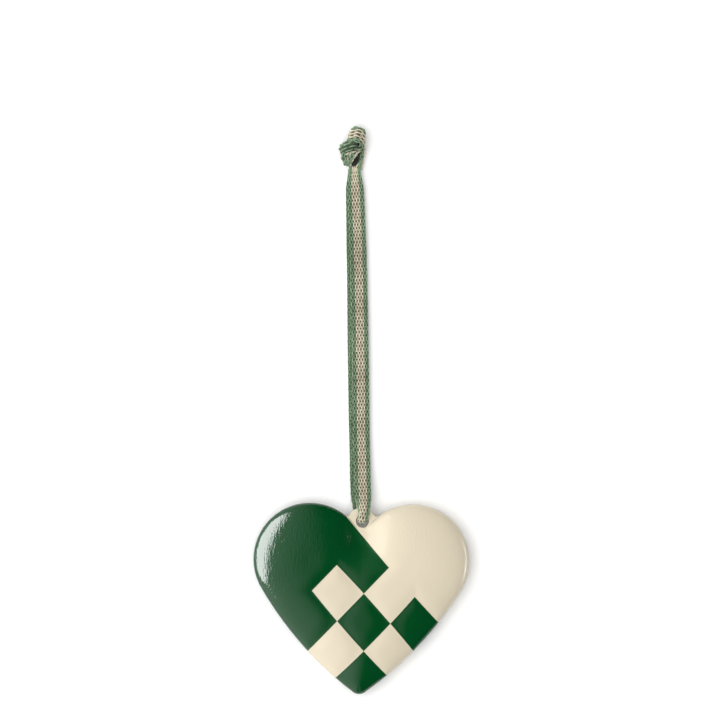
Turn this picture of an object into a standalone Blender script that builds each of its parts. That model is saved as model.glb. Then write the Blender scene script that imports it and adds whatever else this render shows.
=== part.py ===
"""Heart ornament: a pressed and enamelled metal heart on a knotted, narrow woven ribbon.

The heart lies on its back with its painted front up (+Z), its point towards -Y and its
ribbon laid out towards +Y. The origin is under the middle of the heart. Units are metres.
"""

import math

import bmesh
import bpy
import numpy as np
from mathutils import Vector
from mathutils.geometry import delaunay_2d_cdt, interpolate_bezier

# Heart outline: two round lobes, two long bowed sides and a small round point
LOBE_RADIUS = 0.0157
LOBE_SPACING = 0.0286
LEFT_LOBE_LIFT = 0.0005
POINT_DROP = 0.0343
POINT_RADIUS = 0.0029
POINT_OFFSET = -0.00065
SIDE_RADIUS = 0.0983

# Pressed form: a crimped edge and an eye of the same flat sheet, a dome on each side
EDGE_THICKNESS = 0.0010
DOME_HEIGHT = 0.0040
DOME_REACH = 0.0140
DOME_RIDGE_SOFTNESS = 4
NOTCH_DIP_RADIUS = 0.0050

# Hanging eye between the lobes
EYE_RADIUS = 0.0038
EYE_OFFSET = 0.0001
EYE_RISE = 0.0043
EYE_FILLET = 0.0008
BORE_RADIUS = 0.0018
BORE_OFFSET = 0.0003

# Painted checks, three by three, each one pressed into a soft pillow on the front
CHECK_ACROSS = 0.0103
CHECK_ALONG = 0.0109
CHECK_DROP = 0.0064
CHECK_OFFSET = 0.0006
FALLING_ANGLE = math.radians(-48.6)
RISING_ANGLE = math.radians(45.9)
VALLEY_DEPTH = 0.0005
VALLEY_ROUNDNESS = 0.15
VALLEY_FADE = 0.0030

# Fineness of the faceted skin
STEPS_PER_CHECK = 6
OUTLINE_STEP = 0.0016
FINE_STEP = 0.0005
EYE_STEP = 0.0008
BORE_STEP = 0.0006
EDGE_RING = 0.0004
SECOND_RING = 0.0013

# Ribbon: flat, but bunched into the bore
RIBBON_WIDTH = 0.0047
RIBBON_THICKNESS = 0.0008
BUNCH_WIDTH = 0.0026
BUNCH_THICKNESS = 0.0020
BUNCH_LENGTH = 0.009
RIBBON_SIDES = 10
OVAL_SQUARENESS = 0.6
CLEARANCE = 0.0003

# Knot: the doubled ribbon, pulled tight
KNOT_BAND_WIDTH = 0.0038
KNOT_BAND_THICKNESS = 0.0022
KNOT_CORE_RADIUS = 0.0020
KNOT_GRAIN = 0.0003
KNOT_FACE_SHARE = 0.16

ENAMEL_GREEN = (0.017, 0.085, 0.035, 1.0)
ENAMEL_CREAM = (0.79, 0.70, 0.55, 1.0)
RIBBON_GREEN = (0.19, 0.25, 0.16, 1.0)


def on_circle(centre, radius, angle):
    return centre + Vector((math.cos(angle), math.sin(angle))) * radius


def circles_meet(first, first_radius, second, second_radius, side):
    """The point where two circles cross, on the left (1) or right (-1) of first to second."""
    way = second - first
    span = way.length
    along = (first_radius**2 - second_radius**2 + span**2) / (2 * span)
    across = math.sqrt(max(first_radius**2 - along**2, 0.0))
    way.normalize()
    return first + way * along + Vector((-way.y, way.x)) * across * side


def arc(centre, radius, start, end, step, turn=1):
    """Points round a circle, from the direction of start to the direction of end."""
    first = math.atan2(start.y - centre.y, start.x - centre.x)
    sweep = (math.atan2(end.y - centre.y, end.x - centre.x) - first) * turn
    sweep %= 2 * math.pi
    count = max(2, round(sweep * radius / step))
    return [on_circle(centre, radius, first + turn * sweep * i / count) for i in range(count)]


class HeartOutline:
    """Centres of the arcs that make the heart's outline."""

    def __init__(self):
        height = LOBE_RADIUS + LEFT_LOBE_LIFT / 2 + POINT_DROP + POINT_RADIUS
        lobe_y = height / 2 - LOBE_RADIUS - LEFT_LOBE_LIFT / 2
        self.left = Vector((-LOBE_SPACING / 2, lobe_y + LEFT_LOBE_LIFT / 2))
        self.right = Vector((LOBE_SPACING / 2, lobe_y - LEFT_LOBE_LIFT / 2))
        self.point = Vector((POINT_OFFSET, lobe_y - POINT_DROP))
        reach, tip_reach = SIDE_RADIUS - LOBE_RADIUS, SIDE_RADIUS - POINT_RADIUS
        self.left_side = circles_meet(self.left, reach, self.point, tip_reach, 1)
        self.right_side = circles_meet(self.right, reach, self.point, tip_reach, -1)
        self.crotch = self.lobes_cross(0.0)
        self.eye = Vector((EYE_OFFSET, self.crotch.y + EYE_RISE))
        self.bore = Vector((BORE_OFFSET, self.eye.y))
        lobe_reach, eye_reach = LOBE_RADIUS + EYE_FILLET, EYE_RADIUS + EYE_FILLET
        self.right_fillet = circles_meet(self.right, lobe_reach, self.eye, eye_reach, -1)
        self.left_fillet = circles_meet(self.left, lobe_reach, self.eye, eye_reach, 1)

    def lobes_cross(self, inset):
        radius = LOBE_RADIUS - inset
        return circles_meet(self.left, radius, self.right, radius, 1)

    def outside(self, centre, side, radius):
        """A point past centre, seen from the middle of the side arc that touches it."""
        return centre + (centre - side).normalized() * radius

    def lower_half(self, inset, step):
        """Right side, point and left side: from the right lobe down and round to the left."""
        at_left = self.outside(self.left, self.left_side, LOBE_RADIUS)
        left_end = self.outside(self.point, self.left_side, POINT_RADIUS)
        right_end = self.outside(self.point, self.right_side, POINT_RADIUS)
        at_right = self.outside(self.right, self.right_side, LOBE_RADIUS)
        side = SIDE_RADIUS - inset
        return (
            arc(self.left_side, side, at_left, left_end, step)
            + arc(self.point, POINT_RADIUS - inset, left_end, right_end, step / 2)
            + arc(self.right_side, side, right_end, at_right, step)
        )

    def lobes(self, inset, right_end, left_start, step):
        radius = LOBE_RADIUS - inset
        at_left = self.outside(self.left, self.left_side, LOBE_RADIUS)
        at_right = self.outside(self.right, self.right_side, LOBE_RADIUS)
        return (
            arc(self.right, radius, at_right, right_end, step),
            arc(self.left, radius, left_start, at_left, step),
        )

    def plain(self, inset=0.0, step=OUTLINE_STEP):
        """The heart alone, without its eye, all arcs drawn in by the inset."""
        meet = self.lobes_cross(inset)
        right, left = self.lobes(inset, meet, meet, step)
        return self.lower_half(inset, step) + right + [meet] + left[1:]

    def with_eye(self):
        step = OUTLINE_STEP
        right, left = self.lobes(0.0, self.right_fillet, self.left_fillet, step)
        return (
            self.lower_half(0.0, step)
            + right
            + arc(self.right_fillet, EYE_FILLET, self.right, self.eye, FINE_STEP, -1)
            + arc(self.eye, EYE_RADIUS, self.right_fillet, self.left_fillet, EYE_STEP)
            + arc(self.left_fillet, EYE_FILLET, self.eye, self.left, FINE_STEP, -1)
            + left
        )

    def dome_foot(self):
        """Where the lobes' domes rise from the flat eye."""
        right = arc(self.right, LOBE_RADIUS, self.right_fillet, self.crotch, EYE_STEP)
        left = arc(self.left, LOBE_RADIUS, self.crotch, self.left_fillet, EYE_STEP)
        last = self.left + (self.left_fillet - self.left).normalized() * LOBE_RADIUS
        return right + left + [last]


OUTLINE = HeartOutline()


def check_offsets(x, y):
    """Distances from the middle check: across the falling lines, and along them."""
    x = x - CHECK_OFFSET
    y = y + CHECK_DROP
    across = -x * math.sin(FALLING_ANGLE) + y * math.cos(FALLING_ANGLE)
    along = x * math.sin(RISING_ANGLE) - y * math.cos(RISING_ANGLE)
    return across, along


def lattice_point(across, along):
    """The place with these two distances: check_offsets the other way round."""
    falling = Vector((math.cos(FALLING_ANGLE), math.sin(FALLING_ANGLE)))
    rising = Vector((math.cos(RISING_ANGLE), math.sin(RISING_ANGLE)))
    crossing = math.sin(RISING_ANGLE - FALLING_ANGLE)
    place = (rising * across + falling * along) / crossing
    return place + Vector((CHECK_OFFSET, -CHECK_DROP))


def turn_over(distance, width):
    return np.sin(np.clip(distance / width, -1.0, 1.0) * math.pi / 2)


def larger(first, second, roundness):
    """The larger of two fields, with the ridge where they cross rounded over."""
    return (first + second + np.hypot(first - second, roundness)) / 2


def paint_field(x, y, roundness=0.0):
    """Above zero on green, below zero on cream, and zero along each painted edge."""
    across, along = check_offsets(x, y)
    half_across, half_along = CHECK_ACROSS / 2, CHECK_ALONG / 2
    strips = turn_over(across - half_across, half_across) * turn_over(
        across + half_across, half_across
    )
    rows = turn_over(along - half_along, half_along) * turn_over(along + half_along, half_along)
    strips = larger(strips, -turn_over(along + 3 * half_along, half_along), roundness)
    beyond = turn_over(across - 3 * half_across, half_across)
    return -larger(-strips * rows, beyond, roundness)


def distance_to_loop(x, y, loop):
    """Shortest distance from each place to a closed row of points, and whether it is inside."""
    starts = np.array([(p.x, p.y) for p in loop])
    ends = np.roll(starts, -1, axis=0)
    ways = ends - starts
    from_start = np.stack([x[:, None] - starts[:, 0], y[:, None] - starts[:, 1]], axis=2)
    share = (from_start * ways).sum(axis=2) / (ways**2).sum(axis=1)
    nearest = from_start - np.clip(share, 0, 1)[:, :, None] * ways
    distance = np.sqrt((nearest**2).sum(axis=2)).min(axis=1)
    above_start = y[:, None] >= starts[:, 1]
    above_end = y[:, None] >= ends[:, 1]
    turn = ways[:, 0] * from_start[:, :, 1] - ways[:, 1] * from_start[:, :, 0]
    crossings = (above_start & ~above_end & (turn < 0)).astype(int)
    crossings -= (~above_start & above_end & (turn > 0)).astype(int)
    return distance, crossings.sum(axis=1) != 0


def dome_rise(x, y):
    """How far the pressed dome stands above the flat sheet at each place."""
    distance, inside = distance_to_loop(x, y, OUTLINE.plain(0.0, OUTLINE_STEP / 2))
    distance = np.where(inside, distance, 0.0)
    from_sides = [
        SIDE_RADIUS - np.hypot(x - centre.x, y - centre.y)
        for centre in (OUTLINE.left_side, OUTLINE.right_side)
    ]
    nearer = np.maximum(np.minimum(*from_sides), 0.0)
    share = nearer / np.maximum(np.maximum(*from_sides), FINE_STEP)
    soft = DOME_RIDGE_SOFTNESS
    distance = distance * (1 + share**soft) ** (-1 / soft)
    climbed = np.clip(distance / DOME_REACH, 0, 1)
    steep = np.sqrt(1 - (1 - climbed) ** 2)
    from_notch = np.hypot(x - OUTLINE.crotch.x, y - OUTLINE.crotch.y)
    dip = np.exp(-((from_notch / NOTCH_DIP_RADIUS) ** 2))
    return DOME_HEIGHT * (steep + (ease(climbed) - steep) * dip), distance


def ease(share):
    """From 0 to 1 with a level start and a level end."""
    return share**2 * (3 - 2 * share)


def heart_heights(x, y):
    """Heights of the front and of the back of the heart at each place."""
    middle = DOME_HEIGHT + EDGE_THICKNESS / 2
    rise, distance = dome_rise(x, y)
    fade = ease(np.clip(distance / VALLEY_FADE, 0, 1))
    from_edge = np.hypot(paint_field(x, y, VALLEY_ROUNDNESS), VALLEY_ROUNDNESS)
    valleys = VALLEY_DEPTH * np.clip(1 - from_edge, 0, 1) ** 2 * fade
    front = middle + EDGE_THICKNESS / 2 + rise - valleys
    back = middle - EDGE_THICKNESS / 2 - rise
    return front, back


def closed_edges(start, count):
    return [(start + i, start + (i + 1) % count) for i in range(count)]


def sheet_pattern():
    """The flat heart cut into triangles that follow its outline, bore and painted checks."""
    outline = OUTLINE.with_eye()
    sides = round(2 * math.pi * BORE_RADIUS / BORE_STEP)
    bore = [on_circle(OUTLINE.bore, BORE_RADIUS, 2 * math.pi * i / sides) for i in range(sides)]
    foot = OUTLINE.dome_foot()
    points = outline + bore + foot
    edges = closed_edges(0, len(outline)) + closed_edges(len(outline), len(bore))
    foot_start = len(outline) + len(bore)
    edges += [(foot_start + i, foot_start + i + 1) for i in range(len(foot) - 1)]
    points += OUTLINE.plain(EDGE_RING) + OUTLINE.plain(SECOND_RING)
    reach = math.ceil(LOBE_RADIUS * 4 / CHECK_ACROSS) * STEPS_PER_CHECK
    grid = [
        lattice_point(i * CHECK_ACROSS / STEPS_PER_CHECK, j * CHECK_ALONG / STEPS_PER_CHECK)
        for i in range(-reach, reach + 1)
        for j in range(-reach, reach + 1)
    ]
    places = np.array([(p.x, p.y) for p in grid])
    distance, inside = distance_to_loop(places[:, 0], places[:, 1], OUTLINE.plain())
    keep = inside & (distance > SECOND_RING + OUTLINE_STEP / 2)
    points += [point for point, kept in zip(grid, keep) if kept]
    flat, _, triangles, *_ = delaunay_2d_cdt(points, edges, [], 1, CLEARANCE / 1000)
    kept = []
    for triangle in triangles:
        corners = [flat[i] for i in triangle]
        in_bore = [(p - OUTLINE.bore).length < BORE_RADIUS + CLEARANCE / 10 for p in corners]
        if not all(in_bore):
            kept.append(triangle)
    return flat, kept


def material(name, colour, roughness, metallic=0.0):
    made = bpy.data.materials.new(name)
    made.use_nodes = True
    shader = made.node_tree.nodes["Principled BSDF"]
    shader.inputs["Base Color"].default_value = colour
    shader.inputs["Roughness"].default_value = roughness
    shader.inputs["Metallic"].default_value = metallic
    made.diffuse_color = colour
    return made


def finish(name, shape, *materials, smooth=math.radians(35)):
    bmesh.ops.recalc_face_normals(shape, faces=shape.faces)
    mesh = bpy.data.meshes.new(name)
    shape.to_mesh(mesh)
    shape.free()
    mesh.shade_smooth()
    mesh.set_sharp_from_angle(angle=smooth)
    made = bpy.data.objects.new(name, mesh)
    bpy.context.collection.objects.link(made)
    for each in materials:
        mesh.materials.append(each)
    return made


def heart_body(green, cream):
    """The flat pattern, given a thickness and pressed out to its two domes."""
    flat, triangles = sheet_pattern()
    shape = bmesh.new()
    low = [shape.verts.new((p.x, p.y, 0.0)) for p in flat]
    for triangle in triangles:
        shape.faces.new([low[i] for i in triangle])
    bmesh.ops.delete(shape, geom=[v for v in shape.verts if not v.link_faces], context="VERTS")
    raised = bmesh.ops.extrude_face_region(shape, geom=shape.faces[:])["geom"]
    top = {v for v in raised if isinstance(v, bmesh.types.BMVert)}
    shape.verts.ensure_lookup_table()
    places = np.array([(v.co.x, v.co.y) for v in shape.verts])
    front, back = heart_heights(places[:, 0], places[:, 1])
    for vertex, high, low_height in zip(shape.verts, front, back):
        vertex.co.z = high if vertex in top else low_height
    centres = np.array([face.calc_center_median()[:2] for face in shape.faces])
    field = paint_field(centres[:, 0], centres[:, 1])
    for face, value in zip(shape.faces, field):
        face.material_index = 0 if value > 0 else 1
    return finish("heart_body", shape, green, cream)


def smooth_route(points, step):
    """Places along one smooth curve through the points, about a step apart."""
    points = [Vector(p) for p in points]
    slopes = [(b - a) / 2 for a, b in zip(points[:-2], points[2:])]
    slopes = [(points[1] - points[0]) / 2] + slopes + [(points[-1] - points[-2]) / 2]
    route = [points[0]]
    for i in range(len(points) - 1):
        span = (points[i + 1] - points[i]).length
        count = max(1, round(span / step)) + 1
        start_handle = points[i] + slopes[i] * min(1.0, span / slopes[i].length) / 3
        end_handle = points[i + 1] - slopes[i + 1] * min(1.0, span / slopes[i + 1].length) / 3
        route += interpolate_bezier(
            points[i], start_handle, end_handle, points[i + 1], count
        )[1:]
    return route


def section(width, thickness):
    """A flat oval: the ribbon's cross section."""
    ring = []
    for i in range(RIBBON_SIDES):
        angle = math.pi * (2 * i + 1) / RIBBON_SIDES
        round_place = (math.cos(angle), math.sin(angle))
        flat = [math.copysign(abs(f) ** OVAL_SQUARENESS, f) for f in round_place]
        ring.append((flat[0] * width / 2, flat[1] * thickness / 2))
    return ring


def sweep(route, sizes, across):
    """Flat ovals set along a route and bridged; across says which way the width runs."""
    shape = bmesh.new()
    loops = []
    for i, place in enumerate(route):
        ahead = route[min(i + 1, len(route) - 1)] - route[max(i - 1, 0)]
        ahead.normalize()
        wide = across(i) - ahead * across(i).dot(ahead)
        wide.normalize()
        thick = ahead.cross(wide)
        ring = [
            shape.verts.new(place + wide * u + thick * v) for u, v in section(*sizes(i))
        ]
        loops.append([shape.edges.new((a, b)) for a, b in zip(ring, ring[1:] + ring[:1])])
    for first, second in zip(loops, loops[1:]):
        bmesh.ops.bridge_loops(shape, edges=first + second)
    for loop in (loops[0], loops[-1]):
        bmesh.ops.contextual_create(shape, geom=loop)
    return shape


def ribbon_strand(name, points, paint):
    """One strand: bunched where it goes through the bore, then flat along its route."""
    route = smooth_route(points, 2 * RIBBON_WIDTH)
    walked = [0.0]
    for a, b in zip(route, route[1:]):
        walked.append(walked[-1] + (b - a).length)

    def sizes(i):
        share = min(walked[i] / BUNCH_LENGTH, 1.0)
        share = share * share * (3 - 2 * share)
        width = BUNCH_WIDTH + (RIBBON_WIDTH - BUNCH_WIDTH) * share
        return width, BUNCH_THICKNESS + (RIBBON_THICKNESS - BUNCH_THICKNESS) * share

    return finish(name, sweep(route, sizes, lambda i: Vector((1, 0, 0))), paint)


# Hand-placed points of the two strands, from the bore to the knot, lying under it all
FRONT_ROUTE = (
    (0.0003, 0.0217, 0.00465), (0.0003, 0.0218, 0.0054), (0.0004, 0.0224, 0.0061),
    (0.0006, 0.0236, 0.0063), (0.0006, 0.0255, 0.0058), (0.0005, 0.0282, 0.0047),
    (0.0003, 0.0325, 0.0032), (0.0002, 0.0380, 0.0021), (0.0000, 0.0450, 0.0016),
    (-0.0001, 0.0550, 0.0016), (-0.0003, 0.0700, 0.0016), (-0.0006, 0.0850, 0.0016),
    (-0.0010, 0.1000, 0.0016), (-0.0015, 0.1110, 0.0016), (-0.0019, 0.1193, 0.0016),
)
BACK_ROUTE = (
    (0.0003, 0.0217, 0.00435), (0.0002, 0.0218, 0.0036), (0.0000, 0.0224, 0.0029),
    (-0.0003, 0.0238, 0.0025), (-0.0006, 0.0260, 0.0020), (-0.0007, 0.0290, 0.0013),
    (-0.0009, 0.0340, 0.0007), (-0.0010, 0.0400, 0.00045), (-0.0012, 0.0480, 0.00045),
    (-0.0014, 0.0600, 0.00045), (-0.0016, 0.0740, 0.00045), (-0.0017, 0.0880, 0.00045),
    (-0.0019, 0.1010, 0.00045), (-0.0020, 0.1110, 0.00045), (-0.0021, 0.1193, 0.00045),
)

# Way of the doubled ribbon through its knot: up the right, over the top from right to
# left, round behind, and down across the front to the lower left, where it tucks under
KNOT_ROUTE = (
    (-0.0019, 0.1203, 0.0016), (-0.0010, 0.1228, 0.0015), (-0.0003, 0.1258, 0.0016),
    (-0.0003, 0.1286, 0.0024), (-0.0010, 0.1297, 0.0038), (-0.0025, 0.1284, 0.0044),
    (-0.0042, 0.1258, 0.0038), (-0.0050, 0.1242, 0.0022), (-0.0034, 0.1236, 0.0013),
    (-0.0020, 0.1243, 0.0024), (-0.0024, 0.1242, 0.0041), (-0.0038, 0.1229, 0.0046),
    (-0.0046, 0.1216, 0.0034), (-0.0036, 0.1211, 0.0020),
)


def ribbon_knot(paint):
    """The knot as one solid: its turns swept, filled with a core and fused."""
    route = smooth_route(KNOT_ROUTE, RIBBON_THICKNESS)
    centre = sum(route, Vector()) / len(route)

    def across(i):
        ahead = route[min(i + 1, len(route) - 1)] - route[max(i - 1, 0)]
        sideways = ahead.cross(route[i] - centre)
        return sideways if sideways.length > 0 else Vector((1, 0, 0))

    shape = sweep(route, lambda i: (KNOT_BAND_WIDTH, KNOT_BAND_THICKNESS), across)
    core = bmesh.ops.create_icosphere(shape, subdivisions=3, radius=KNOT_CORE_RADIUS)
    bmesh.ops.translate(shape, vec=centre, verts=core["verts"])
    lowest = min(vertex.co.z for vertex in shape.verts)
    bmesh.ops.translate(shape, vec=(0, 0, -lowest), verts=shape.verts)
    knot = finish("ribbon_knot", shape, paint)
    fuse = knot.modifiers.new("fuse", "REMESH")
    fuse.mode = "VOXEL"
    fuse.voxel_size = KNOT_GRAIN
    thin_out = knot.modifiers.new("thin_out", "DECIMATE")
    thin_out.ratio = KNOT_FACE_SHARE
    return knot


for old in list(bpy.data.objects):
    bpy.data.objects.remove(old, do_unlink=True)

green_enamel = material("green_enamel", ENAMEL_GREEN, 0.12)
cream_enamel = material("cream_enamel", ENAMEL_CREAM, 0.12)
woven_ribbon = material("woven_ribbon", RIBBON_GREEN, 0.9)

heart_body(green_enamel, cream_enamel)
ribbon_strand("front_ribbon_strand", FRONT_ROUTE, woven_ribbon)
ribbon_strand("back_ribbon_strand", BACK_ROUTE, woven_ribbon)
ribbon_knot(woven_ribbon)
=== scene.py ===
import math

import bmesh
import bpy
import numpy as np
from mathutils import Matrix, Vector
from mathutils.geometry import interpolate_bezier


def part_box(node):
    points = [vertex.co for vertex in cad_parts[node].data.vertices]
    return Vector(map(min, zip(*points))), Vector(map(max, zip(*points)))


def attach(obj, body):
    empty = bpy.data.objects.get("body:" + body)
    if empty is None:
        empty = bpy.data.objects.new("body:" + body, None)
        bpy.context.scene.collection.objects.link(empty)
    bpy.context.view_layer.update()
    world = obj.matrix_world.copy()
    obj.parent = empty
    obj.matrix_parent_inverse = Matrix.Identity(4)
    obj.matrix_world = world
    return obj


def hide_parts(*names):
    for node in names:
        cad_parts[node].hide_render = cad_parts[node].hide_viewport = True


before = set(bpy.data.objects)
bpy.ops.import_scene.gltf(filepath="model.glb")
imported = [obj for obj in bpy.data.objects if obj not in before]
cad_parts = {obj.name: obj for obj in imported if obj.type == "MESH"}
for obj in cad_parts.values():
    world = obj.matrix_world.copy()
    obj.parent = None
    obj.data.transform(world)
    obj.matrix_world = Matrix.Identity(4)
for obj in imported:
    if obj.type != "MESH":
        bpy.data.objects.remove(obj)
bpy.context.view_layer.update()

# Camera
# The ornament lies on its back and is seen from straight above, as it was photographed:
# the heart low in the frame, its ribbon running up to the knot.
VIEW_WIDTH = 0.20004
VIEW_CENTRE = Vector((-0.00038, 0.0662))
VIEW_DISTANCE = 1.1
heart_middle = sum(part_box("heart_body"), Vector()).z / 2
lens = bpy.data.cameras.new("camera")
lens.sensor_width = 36
lens.lens = lens.sensor_width * VIEW_DISTANCE / VIEW_WIDTH
lens.clip_start, lens.clip_end = 0.01, 20
camera = bpy.data.objects.new("camera", lens)
camera.location = (*VIEW_CENTRE, heart_middle + VIEW_DISTANCE)
bpy.context.collection.objects.link(camera)
bpy.context.scene.camera = camera
bpy.context.scene.view_settings.view_transform = "Standard"

# Ribbon, its two free strands
# One narrow ribbon, woven warp-faced from twelve soft yarns, three green, six cream, three
# green. It is threaded through the eye, where it curls together, and lies flat after it.
RIBBON_WIDTH = 0.0047
WARP_YARNS = 12
GREEN_EDGE_YARNS = 3
YARN_RADIUS = 0.00018
YARN_PINCH = 0.14
YARN_RISE = 0.00017
GROUND_SHARE = 0.97
FLOAT_LENGTH = 0.00193
STEPS_PER_FLOAT = 8
EYE_ROLL = (0.0023, 0.0014, 230, -28)
EYE_ROLL_LENGTH = 0.009
NECK_LENGTH = 0.0060
NECK_SHARE = 0.68


class Socket:
    """A shader socket that Python's own operators calculate with."""

    def __init__(self, tree, socket):
        self.tree = tree
        self.socket = socket

    def node(self, kind, values, output=0, **settings):
        made = self.tree.nodes.new("ShaderNode" + kind)
        for name, value in settings.items():
            setattr(made, name, value)
        for name, value in values.items():
            if isinstance(value, Socket):
                self.tree.links.new(value.socket, made.inputs[name])
            else:
                made.inputs[name].default_value = value
        return Socket(self.tree, made.outputs[output])

    def maths(self, operation, *values):
        return self.node("Math", dict(enumerate(values)), operation=operation)

    def __add__(self, other):
        return self.maths("ADD", self, other)

    def __sub__(self, other):
        return self.maths("SUBTRACT", self, other)

    def __rsub__(self, other):
        return self.maths("SUBTRACT", other, self)

    def __mul__(self, other):
        return self.maths("MULTIPLY", self, other)

    def __neg__(self):
        return self * -1

    __radd__, __rmul__ = __add__, __mul__

    def least(self, other):
        return self.maths("MINIMUM", self, other)

    def most(self, other):
        return self.maths("MAXIMUM", self, other)

    def within(self, low, high):
        return self.most(low).least(high)

    def mix(self, first, second):
        """A colour between two, this socket saying how far."""
        return self.node("Mix", {0: self, 6: first, 7: second}, 2, data_type="RGBA")


def new_material(name, **plain_values):
    """A Principled material with plain values set; returns it with its shader and a start."""
    made = bpy.data.materials.new(name)
    made.use_nodes = True
    shader = made.node_tree.nodes["Principled BSDF"]
    for key, value in plain_values.items():
        shader.inputs[key.replace("_", " ").title()].default_value = value
    start = Socket(made.node_tree, None)
    return made, shader, start


def feed(shader, name, value):
    value.tree.links.new(value.socket, shader.inputs[name])


def yarn_material(name, dark, light):
    """Soft spun yarn: matt, mottled in colour, with a fine fibrous surface."""
    made, shader, start = new_material(name, Roughness=0.85)
    shader.inputs["Specular IOR Level"].default_value = 0.25
    shader.inputs["Sheen Weight"].default_value = 0.25
    shader.inputs["Sheen Roughness"].default_value = 0.5
    place = start.node("TexCoord", {}, "Object")
    mottle = start.node("TexNoise", {"Vector": place, "Scale": 900.0, "Detail": 3.0})
    broad = start.node("TexNoise", {"Vector": place, "Scale": 90.0, "Detail": 2.0})
    share = (mottle * 0.65 + broad * 0.35 - 0.3) * 2.2
    feed(shader, "Base Color", share.within(0.0, 1.0).mix(dark, light))
    stretched = start.node("Mapping", {"Vector": place, "Scale": (9000.0, 2500.0, 9000.0)})
    fibres = start.node("TexNoise", {"Vector": stretched, "Scale": 1.0, "Detail": 2.0})
    bump = start.node("Bump", {"Height": fibres, "Strength": 0.5, "Distance": 0.00005})
    feed(shader, "Normal", bump)
    return made


def smooth_route(points, step):
    """Places along one smooth curve through given points, about a step apart."""
    points = [Vector(p) for p in points]
    slopes = [(b - a) / 2 for a, b in zip(points[:-2], points[2:])]
    slopes = [(points[1] - points[0]) / 2] + slopes + [(points[-1] - points[-2]) / 2]
    route = [points[0]]
    for i in range(len(points) - 1):
        span = (points[i + 1] - points[i]).length
        count = max(1, round(span / step)) + 1
        start_handle = points[i] + slopes[i] * min(1.0, span / slopes[i].length) / 3
        end_handle = points[i + 1] - slopes[i + 1] * min(1.0, span / slopes[i + 1].length) / 3
        route += interpolate_bezier(
            points[i], start_handle, end_handle, points[i + 1], count
        )[1:]
    return route


def lengths_along(route):
    walked = [0.0]
    for a, b in zip(route, route[1:]):
        walked.append(walked[-1] + (b - a).length)
    return walked


def ease(share):
    """From 0 to 1 with a level start and a level end."""
    return share**2 * (3 - 2 * share)


def weave(name, route, across, materials, roll_shape, roll, girth):
    """Warp yarns along a route, going over and under by turns, on a darker weft ground whose dark
    colour is partly painted shade in the gaps between them.

    The width runs along across. roll(i) is 1 where the ribbon is rolled up, to a width and
    depth and through an angle from a first turn, and girth(i) is its share of full width.
    """
    walked = lengths_along(route)
    roll_width, roll_depth, wrap, first_turn = roll_shape

    def spot(i, share, rise):
        ahead = (route[min(i + 1, len(route) - 1)] - route[max(i - 1, 0)]).normalized()
        wide = (across - ahead * across.dot(ahead)).normalized()
        thick = ahead.cross(wide)
        turn = math.radians(wrap * share + first_turn)
        outward = wide * math.sin(turn) - thick * math.cos(turn)
        rolled = wide * math.sin(turn) * roll_width / 2 - thick * math.cos(turn) * roll_depth / 2
        place = (wide * share * RIBBON_WIDTH).lerp(rolled, roll(i)) * girth(i)
        return route[i] + place + (-thick).lerp(outward, roll(i)) * rise

    yarns = bpy.data.curves.new(name, "CURVE")
    yarns.dimensions = "3D"
    yarns.bevel_depth = YARN_RADIUS
    yarns.bevel_resolution = 1
    yarns.use_fill_caps = True
    for material in materials:
        yarns.materials.append(material)
    for yarn in range(WARP_YARNS):
        spline = yarns.splines.new("POLY")
        spline.points.add(len(route) - 1)
        at_edge = yarn < GREEN_EDGE_YARNS or yarn >= WARP_YARNS - GREEN_EDGE_YARNS
        spline.material_index = 0 if at_edge else 1
        for i in range(len(route)):
            wave = math.cos(2 * math.pi * walked[i] / FLOAT_LENGTH + math.pi * yarn)
            place = spot(i, (yarn + 0.5) / WARP_YARNS - 0.5, wave * YARN_RISE)
            spline.points[i].co = (*place, 1.0)
            spline.points[i].radius = 1 - YARN_PINCH * (1 - wave)
    holder = bpy.data.objects.new(name + "_yarns", yarns)
    mesh = bpy.data.meshes.new_from_object(holder)
    bpy.data.objects.remove(holder)
    shape = bmesh.new()
    shape.from_mesh(mesh)
    # The weft ground under the yarns; its dark colour is partly the weft and partly painted shade
    # in the gaps.
    columns = [(column / WARP_YARNS - 0.5) * GROUND_SHARE for column in range(WARP_YARNS + 1)]
    ground = [[shape.verts.new(spot(i, c, 0.0)) for c in columns] for i in range(len(route))]
    for row, next_row in zip(ground, ground[1:]):
        for c in range(WARP_YARNS):
            face = shape.faces.new((row[c], row[c + 1], next_row[c + 1], next_row[c]))
            at_edge = c < GREEN_EDGE_YARNS or c >= WARP_YARNS - GREEN_EDGE_YARNS
            face.material_index = 2 if at_edge else 3
    shape.to_mesh(mesh)
    shape.free()
    mesh.name = name
    made = bpy.data.objects.new(name, mesh)
    bpy.context.collection.objects.link(made)
    mesh.shade_smooth()
    return made


ribbon_materials = (
    yarn_material("green_yarn", (0.10, 0.17, 0.085, 1), (0.27, 0.39, 0.24, 1)),
    yarn_material("cream_yarn", (0.40, 0.36, 0.25, 1), (0.80, 0.75, 0.58, 1)),
    # The two weft colours are partly the weft's own and partly painted shade between the yarns.
    yarn_material("green_weft_and_shade", (0.020, 0.040, 0.016, 1), (0.035, 0.065, 0.030, 1)),
    yarn_material("brown_weft_and_shade", (0.060, 0.045, 0.025, 1), (0.11, 0.085, 0.05, 1)),
    # Near black: painted shade for the hollow inside the knot.
    yarn_material("knot_painted_shade", (0.003, 0.006, 0.003, 1), (0.008, 0.014, 0.007, 1)),
)

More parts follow.
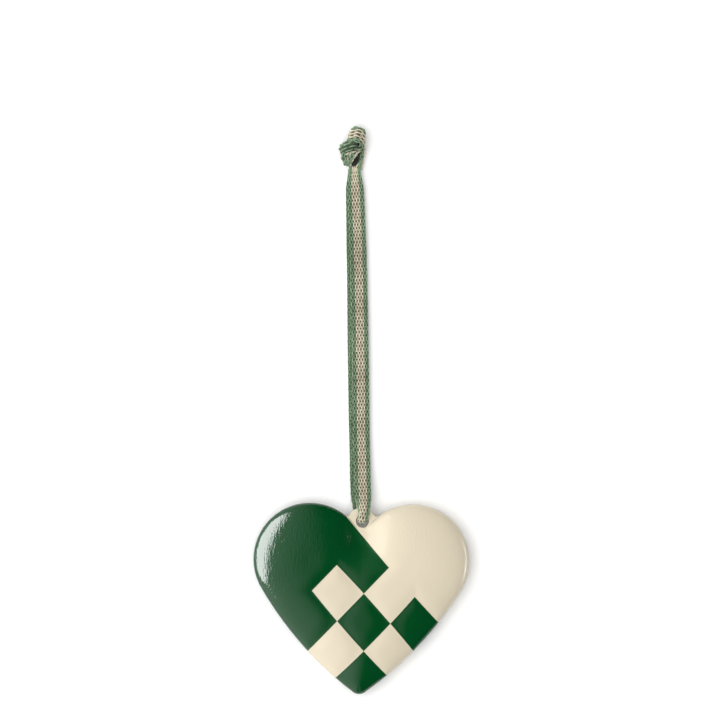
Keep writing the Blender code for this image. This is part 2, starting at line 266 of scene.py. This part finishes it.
FRONT_ROUTE = (
    (0.0003, 0.0217, 0.00465), (0.0003, 0.0218, 0.0054), (0.0004, 0.0224, 0.0061),
    (0.0006, 0.0236, 0.0063), (0.0006, 0.0255, 0.0058), (0.0005, 0.0282, 0.0047),
    (0.0003, 0.0325, 0.0032), (0.0002, 0.0380, 0.0021), (0.0000, 0.0450, 0.0016),
    (-0.0001, 0.0550, 0.0016), (-0.0003, 0.0700, 0.0016), (-0.0006, 0.0850, 0.0016),
    (-0.0010, 0.1000, 0.0016), (-0.0015, 0.1110, 0.0016), (-0.0019, 0.1193, 0.0016),
)
BACK_ROUTE = (
    (0.0003, 0.0217, 0.00435), (0.0002, 0.0218, 0.0036), (0.0000, 0.0224, 0.0029),
    (-0.0003, 0.0238, 0.0025), (-0.0006, 0.0260, 0.0020), (-0.0007, 0.0290, 0.0013),
    (-0.0009, 0.0340, 0.0007), (-0.0010, 0.0400, 0.00045), (-0.0012, 0.0480, 0.00045),
    (-0.0014, 0.0600, 0.00045), (-0.0016, 0.0740, 0.00045), (-0.0017, 0.0880, 0.00045),
    (-0.0019, 0.1010, 0.00045), (-0.0020, 0.1110, 0.00045), (-0.0021, 0.1193, 0.00045),
)

strands = []
for strand_name, points, side in (
    ("front_strand", FRONT_ROUTE, 1),
    ("back_strand", BACK_ROUTE, -1),
):
    route = smooth_route(points, FLOAT_LENGTH / STEPS_PER_FLOAT)
    walked = lengths_along(route)

    def roll(i):
        return 1 - ease(min(walked[i] / EYE_ROLL_LENGTH, 1.0))

    def girth(i):
        return NECK_SHARE + (1 - NECK_SHARE) * ease(min((walked[-1] - walked[i]) / NECK_LENGTH, 1))

    across = Vector((side, 0, 0))
    strand = weave(strand_name, route, across, ribbon_materials, EYE_ROLL, roll, girth)
    strands.append((strand, route, walked[-1]))

# Ribbon, its knot
# The two strands tied together in one tight knot: one turn caps it, one runs round to the
# left under that, two folds come down the front and the last stretch climbs on the right.
CAP_TURN = ((-0.0013, 0.1282, 0.0033), (0.23, 0.83, -0.5), 0.00115, 0.0013, 215, -35)
CAP_ROLL = (0.0050, 0.0022, 140, 8)
MIDDLE_TURN = ((-0.0034, 0.1250, 0.0031), (-0.29, 0.92, -0.25), 0.0016, 0.0013, -20, 210)
MIDDLE_ROLL = (0.0034, 0.0022, 380, -153)
LEFT_FOLD = (
    (-0.0028, 0.1252, 0.0030), (-0.0041, 0.1237, 0.0040), (-0.0046, 0.1223, 0.0037),
    (-0.0040, 0.1204, 0.0022),
)
RIGHT_FOLD = (
    (-0.0014, 0.1250, 0.0028), (-0.0025, 0.1235, 0.0040), (-0.0031, 0.1221, 0.0036),
    (-0.0036, 0.1204, 0.0022),
)
FOLD_ROLL = (0.0024, 0.0018, 300, -125)
RIGHT_CLIMB = (
    (-0.0009, 0.1193, 0.0010), (-0.0005, 0.1217, 0.0013), (-0.0001, 0.1237, 0.0018),
    (0.0000, 0.1257, 0.0024), (0.0001, 0.1274, 0.0028),
)
RIGHT_CLIMB_ROLL = (0.0017, 0.0016, 300, 135)
NECK = (
    (-0.0019, 0.1190, 0.0017), (-0.0017, 0.1206, 0.0019), (-0.0014, 0.1220, 0.0019),
    (-0.0014, 0.1232, 0.0016),
)
FOLD_END_SHARE = 0.45
DEGREES_A_STEP = 5
CORE_MIDDLE, CORE_RADII = (-0.0022, 0.1248, 0.0020), (0.0022, 0.0048, 0.0018)


def turn_route(middle, axis, side_radius, depth_radius, first, last):
    """An oval turn about an axis; 90 degrees is its front and 0 its right."""
    axis = Vector(axis).normalized()
    front = (Vector((0, 0, 1)) - axis * axis.z).normalized()
    aside = axis.cross(front)
    steps = round(abs(last - first) / DEGREES_A_STEP)
    route = []
    for i in range(steps + 1):
        angle = math.radians(first + (last - first) * i / steps)
        offset = aside * side_radius * math.cos(angle) + front * depth_radius * math.sin(angle)
        route.append(Vector(middle) + offset)
    return route, axis * math.copysign(1, last - first)


knot_parts = [
    (*turn_route(*CAP_TURN), CAP_ROLL, 1.0, 1.0),
    (*turn_route(*MIDDLE_TURN), MIDDLE_ROLL, 1.0, 1.0),
]
for points, side, roll_shape, rolled, last_girth in (
    (LEFT_FOLD, -1, FOLD_ROLL, 1.0, FOLD_END_SHARE),
    (RIGHT_FOLD, -1, FOLD_ROLL, 1.0, FOLD_END_SHARE),
    (RIGHT_CLIMB, 1, RIGHT_CLIMB_ROLL, 1.0, 1.0),
    (NECK, 1, EYE_ROLL, 0.0, NECK_SHARE),
):
    route = smooth_route(points, FLOAT_LENGTH / STEPS_PER_FLOAT)
    knot_parts.append((route, Vector((side, 0, 0)), roll_shape, rolled, last_girth))

shape = bmesh.new()
for route, across, roll_shape, rolled, last_girth in knot_parts:

    def girth(i):
        return last_girth if not rolled else 1 + (last_girth - 1) * ease(i / len(route))

    part = weave("knot_part", route, across, ribbon_materials, roll_shape, lambda i: rolled, girth)
    shape.from_mesh(part.data)
    bpy.data.objects.remove(part)
# A near-black core fills the hollow between the turns: painted shade.
core = bmesh.ops.create_icosphere(shape, subdivisions=3, radius=1.0)["verts"]
bmesh.ops.scale(shape, vec=CORE_RADII, verts=core)
bmesh.ops.translate(shape, vec=CORE_MIDDLE, verts=core)
for face in {face for vertex in core for face in vertex.link_faces}:
    face.material_index = 4
knot_mesh = bpy.data.meshes.new("knot")
shape.to_mesh(knot_mesh)
shape.free()
for material in ribbon_materials:
    knot_mesh.materials.append(material)
knot_mesh.shade_smooth()
knot = bpy.data.objects.new("knot", knot_mesh)
bpy.context.collection.objects.link(knot)
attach(knot, "root")
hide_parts("ribbon_knot")

for (strand, route, length), node in zip(
    strands, ("front_ribbon_strand", "back_ribbon_strand")
):
    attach(strand, "root")
    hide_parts(node)
    [tuple(p) for p in route[::4] + route[-1:]]

# Heart
# Two thin sheet-metal shells, pressed to a low dome with a softly pillowed check, joined at
# their edge with the flat eye between, dipped in cream enamel and painted in glossy green.
LOBE_RADIUS = 0.0157
LOBE_SPACING = 0.0286
LEFT_LOBE_LIFT = 0.0005
POINT_DROP = 0.0343
POINT_RADIUS = 0.0029
POINT_OFFSET = -0.00065
SIDE_RADIUS = 0.0983
EDGE_THICKNESS = 0.0010
DOME_REACH = 0.0140
DOME_RIDGE_SOFTNESS = 4
LEAST_SPAN = 0.00018
CHECK_ACROSS = 0.0103
CHECK_ALONG = 0.0109
CHECK_MIDDLE = (0.0006, -0.0064)
FALLING_ANGLE = math.radians(-48.6)
RISING_ANGLE = math.radians(45.9)
VALLEY_DEPTH = 0.0005
VALLEY_ROUNDNESS = 0.15
VALLEY_FADE = 0.0030
NOTCH_DIP_RADIUS = 0.0050
EYE_EDGE_ROUND = 0.00025
SHARP_ANGLE = math.radians(60)
heart_low, heart_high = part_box("heart_body")
DOME_HEIGHT = (heart_high.z - EDGE_THICKNESS) / 2

left_lobe = Vector((-LOBE_SPACING / 2, heart_high.y - LOBE_RADIUS))
right_lobe = Vector((LOBE_SPACING / 2, left_lobe.y - LEFT_LOBE_LIFT))
point = Vector((POINT_OFFSET, (left_lobe.y + right_lobe.y) / 2 - POINT_DROP))


def circles_meet(first, first_radius, second, second_radius, side):
    way = second - first
    span = way.length
    along = (first_radius**2 - second_radius**2 + span**2) / (2 * span)
    across = math.sqrt(first_radius**2 - along**2)
    way.normalize()
    return first + way * along + Vector((-way.y, way.x)) * across * side


to_lobe, to_point = SIDE_RADIUS - LOBE_RADIUS, SIDE_RADIUS - POINT_RADIUS
left_side = circles_meet(left_lobe, to_lobe, point, to_point, 1)
right_side = circles_meet(right_lobe, to_lobe, point, to_point, -1)
crotch = circles_meet(left_lobe, LOBE_RADIUS, right_lobe, LOBE_RADIUS, 1)


def from_arc(x, y, centre, radius, first, last):
    """Distance to an arc that runs anticlockwise from one direction to another."""
    start = math.atan2(first.y - centre.y, first.x - centre.x)
    sweep = (math.atan2(last.y - centre.y, last.x - centre.x) - start) % (2 * math.pi)
    turn = (np.arctan2(y - centre.y, x - centre.x) - start) % (2 * math.pi)
    distance = np.abs(np.hypot(x - centre.x, y - centre.y) - radius)
    for end in (start, start + sweep):
        tip_x = centre.x + radius * math.cos(end)
        tip_y = centre.y + radius * math.sin(end)
        distance = np.where(
            turn > sweep, np.minimum(distance + 1, np.hypot(x - tip_x, y - tip_y)), distance
        )
    return distance


def edge_distance(x, y):
    """How far inside the heart's own edge each place lies, and nothing out on the eye."""
    at_left = left_lobe * 2 - left_side
    at_right = right_lobe * 2 - right_side
    left_end = point * 2 - left_side
    right_end = point * 2 - right_side
    arcs = (
        (left_lobe, LOBE_RADIUS, crotch, at_left),
        (left_side, SIDE_RADIUS, at_left, left_end),
        (point, POINT_RADIUS, left_end, right_end),
        (right_side, SIDE_RADIUS, right_end, at_right),
        (right_lobe, LOBE_RADIUS, at_right, crotch),
    )
    distance = np.min([from_arc(x, y, *each) for each in arcs], axis=0)
    in_lobe = np.minimum(
        np.hypot(x - left_lobe.x, y - left_lobe.y),
        np.hypot(x - right_lobe.x, y - right_lobe.y),
    )
    return np.where((in_lobe < LOBE_RADIUS) | (y < right_lobe.y), distance, 0.0)


def turn_over(distance, width):
    return np.sin(np.clip(distance / width, -1.0, 1.0) * math.pi / 2)


def larger(first, second):
    """The larger of two fields, with the ridge where they cross rounded over."""
    return (first + second + np.hypot(first - second, VALLEY_ROUNDNESS)) / 2


def check_valleys(x, y):
    """One along the painted edges, falling to nothing up on each pressed pillow."""
    x, y = x - CHECK_MIDDLE[0], y - CHECK_MIDDLE[1]
    across = -x * math.sin(FALLING_ANGLE) + y * math.cos(FALLING_ANGLE)
    along = x * math.sin(RISING_ANGLE) - y * math.cos(RISING_ANGLE)
    half_across, half_along = CHECK_ACROSS / 2, CHECK_ALONG / 2
    strips = turn_over(across - half_across, half_across) * turn_over(
        across + half_across, half_across
    )
    rows = turn_over(along - half_along, half_along) * turn_over(along + half_along, half_along)
    strips = larger(strips, -turn_over(along + 3 * half_along, half_along))
    field = larger(-strips * rows, turn_over(across - 3 * half_across, half_across))
    return np.clip(1 - np.hypot(field, VALLEY_ROUNDNESS), 0, 1) ** 2


def surface_heights(x, y):
    """Heights of the heart's front and back above the floor."""
    distance = edge_distance(x, y)
    from_sides = [
        SIDE_RADIUS - np.hypot(x - side.x, y - side.y) for side in (left_side, right_side)
    ]
    nearer = np.maximum(np.minimum(*from_sides), 0.0)
    share = nearer / np.maximum(np.maximum(*from_sides), LEAST_SPAN)
    soft = DOME_RIDGE_SOFTNESS
    distance = distance * (1 + share**soft) ** (-1 / soft)
    climbed = np.clip(distance / DOME_REACH, 0, 1)
    steep = np.sqrt(1 - (1 - climbed) ** 2)
    dip = np.exp(-((np.hypot(x - crotch.x, y - crotch.y) / NOTCH_DIP_RADIUS) ** 2))
    rise = DOME_HEIGHT * (steep + (ease(climbed) - steep) * dip)
    valleys = VALLEY_DEPTH * check_valleys(x, y) * ease(np.clip(distance / VALLEY_FADE, 0, 1))
    middle = DOME_HEIGHT + EDGE_THICKNESS / 2
    front = middle + EDGE_THICKNESS / 2 + rise - valleys
    return front, middle - EDGE_THICKNESS / 2 - rise


shape = bmesh.new()
shape.from_mesh(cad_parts["heart_body"].data)
bmesh.ops.remove_doubles(shape, verts=shape.verts, dist=1e-6)
sharp = [e for e in shape.edges if e.is_manifold and e.calc_face_angle() > SHARP_ANGLE]
bmesh.ops.bevel(
    shape, geom=sharp, offset=EYE_EDGE_ROUND, segments=3, profile=0.5, affect="EDGES",
    material=-1, clamp_overlap=True,
)
bmesh.ops.triangulate(shape, faces=[f for f in shape.faces if len(f.verts) > 4])
bmesh.ops.subdivide_edges(shape, edges=shape.edges, cuts=3, use_grid_fill=True)
places = np.array([v.co[:] for v in shape.verts])
distance = edge_distance(places[:, 0], places[:, 1])
front, back = surface_heights(places[:, 0], places[:, 1])
middle = DOME_HEIGHT + EDGE_THICKNESS / 2
for vertex, inside, high, low in zip(shape.verts, distance, front, back):
    if inside > EYE_EDGE_ROUND / 10:
        vertex.co.z = high if vertex.co.z > middle else low
bmesh.ops.recalc_face_normals(shape, faces=shape.faces)
heart_mesh = bpy.data.meshes.new("enamelled_heart")
shape.to_mesh(heart_mesh)
shape.free()
heart_mesh.shade_smooth()
heart = bpy.data.objects.new("enamelled_heart", heart_mesh)
bpy.context.collection.objects.link(heart)

GREEN = (0.0009, 0.0515, 0.0115, 1)
CREAM = (0.63, 0.56, 0.425, 1)
PAINT_EDGE = 0.00006
BOW = 0.0004
BOW_REACH = 0.016
DULL_MIDDLE, DULL_RADIUS, DULL_FADE = (0.0040, 0.0160, 0.0075), 0.0060, 0.0055
PEEL_MIDDLE, PEEL_START, PEEL_FADE = (*CHECK_MIDDLE, 0.0090), 0.014, 0.014
PEEL_SCALE, PEEL_LEAST, PEEL_HEIGHT = (2200.0, 480.0, 2200.0), 0.15, 0.00007
enamel, enamel_shader, start = new_material("two_colour_enamel", Roughness=0.07)
enamel_shader.inputs["IOR"].default_value = 1.55
place = start.node("TexCoord", {}, "Object")
x, y = (start.node("SeparateXYZ", {0: place}, output) for output in range(2))
x, y = x - CHECK_MIDDLE[0], y - CHECK_MIDDLE[1]
across = y * math.cos(FALLING_ANGLE) - x * math.sin(FALLING_ANGLE)
along = x * math.sin(RISING_ANGLE) - y * math.cos(RISING_ANGLE)


def bowed(other, amount):
    """A line's own bow: most in its middle, nothing a bow's reach away."""
    share = other * (1 / BOW_REACH)
    return (1 - share * share) * amount


def side_of(distance):
    return (distance * (1 / PAINT_EDGE)).within(-1.0, 1.0)


half_across, half_along = CHECK_ACROSS / 2, CHECK_ALONG / 2
strips = side_of(across - half_across - bowed(along, BOW) + BOW / 2) * side_of(
    across + half_across + bowed(along, BOW) - BOW / 2
)
rows = side_of(along + half_along) * side_of(
    along - half_along - bowed(across, BOW) + BOW / 2
)
strips = strips.most(-side_of(along + 3 * half_along))
field = (strips * rows).least(-side_of(across - 3 * half_across + bowed(along, BOW / 2)))
mask = field * 0.5 + 0.5
cloud = start.node("TexNoise", {"Vector": place, "Scale": 60.0, "Detail": 2.0})
green = cloud.mix(tuple(0.85 * c for c in GREEN), tuple(1.15 * c for c in GREEN))
cream = cloud.mix(tuple(0.97 * c for c in CREAM), tuple(1.02 * c for c in CREAM))
paint = mask.mix(cream, green)


def away_from(middle, first, fade):
    """Nothing up to a first distance from a place, and rising softly to one."""
    distance = start.node("VectorMath", {0: place, 1: middle}, 1, operation="DISTANCE")
    share = ((distance - first) * (1 / fade)).within(0.0, 1.0)
    return share * share * (3 - share * 2)


# The dipped coat has a faint peel towards the heart's edge, and lies dull by the eye.
peel_place = start.node("Mapping", {"Vector": place, "Scale": PEEL_SCALE})
peel = start.node("TexNoise", {"Vector": peel_place, "Scale": 1.0, "Detail": 2.0})
peel_share = away_from(PEEL_MIDDLE, PEEL_START, PEEL_FADE) * (1 - PEEL_LEAST) + PEEL_LEAST
height = peel * peel_share * 0.8 + mask * 0.2
bump = start.node("Bump", {"Height": height, "Strength": 1.0, "Distance": PEEL_HEIGHT})
matt_shader = enamel.node_tree.nodes.new("ShaderNodeBsdfPrincipled")
matt_shader.inputs["Roughness"].default_value = 0.3
matt_shader.inputs["Specular IOR Level"].default_value = 0.08
for each in (enamel_shader, matt_shader):
    feed(each, "Base Color", paint)
    feed(each, "Normal", bump)
both = enamel.node_tree.nodes.new("ShaderNodeMixShader")
gloss = away_from(DULL_MIDDLE, DULL_RADIUS, DULL_FADE)
enamel.node_tree.links.new(gloss.socket, both.inputs["Fac"])
enamel.node_tree.links.new(matt_shader.outputs["BSDF"], both.inputs[1])
enamel.node_tree.links.new(enamel_shader.outputs["BSDF"], both.inputs[2])
enamel_output = enamel.node_tree.nodes["Material Output"]
enamel.node_tree.links.new(both.outputs["Shader"], enamel_output.inputs["Surface"])
heart_mesh.materials.append(enamel)
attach(heart, "root")
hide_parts("heart_body")

# Floor and light
# A plain pale table, a large soft panel at the upper left, a weak card at the right, and a
# pale room that is dark straight overhead, so that the gloss shows only at the edges.
floor_mesh = bpy.data.meshes.new("floor")
floor_shape = bmesh.new()
bmesh.ops.create_grid(floor_shape, x_segments=1, y_segments=1, size=3.0)
floor_shape.to_mesh(floor_mesh)
floor_shape.free()
floor = bpy.data.objects.new("floor", floor_mesh)
bpy.context.collection.objects.link(floor)
paper, paper_shader, start = new_material("pale_paper", Roughness=0.9)
paper_shader.inputs["Base Color"].default_value = (0.93, 0.93, 0.925, 1)
paper_shader.inputs["Specular IOR Level"].default_value = 0.0
floor_mesh.materials.append(paper)


def panel(name, direction, distance, size, power):
    """A soft panel that faces the heart from this direction."""
    light = bpy.data.lights.new(name, "AREA")
    light.shape = "ELLIPSE"
    light.size, light.size_y = size
    light.energy = power
    made = bpy.data.objects.new(name, light)
    made.location = Vector(direction).normalized() * distance
    made.rotation_mode = "QUATERNION"
    made.rotation_quaternion = Vector(direction).to_track_quat("Z", "Y")
    bpy.context.collection.objects.link(made)
    return made


gloss_light = panel("left_panel", (-0.800, 0.215, 0.559), 0.6, (0.92, 0.46), 13.0)
gloss_light.visible_diffuse = False
fill_light = panel("overhead_fill", (0.0, 0.0, 1.0), 1.3, (1.8, 1.8), 20.0)
fill_light.visible_glossy = False
rim_light = panel("right_card", (0.95, 0.0, 0.22), 0.6, (0.5, 0.12), 1.2)
rim_light.visible_diffuse = False

ROOM_BRIGHTNESS, ROOM_SLOPE = 0.26, 1.6
world = bpy.data.worlds.new("room")
bpy.context.scene.world = world
world.use_nodes = True
start = Socket(world.node_tree, None)
sideways = start.node("SeparateXYZ", {0: start.node("TexCoord", {}, "Generated")})
glow = (ROOM_BRIGHTNESS - sideways * ROOM_SLOPE).most(0.0)
background = world.node_tree.nodes["Background"]
background.inputs["Color"].default_value = (1, 1, 1, 1)
start.tree.links.new(glow.socket, background.inputs["Strength"])
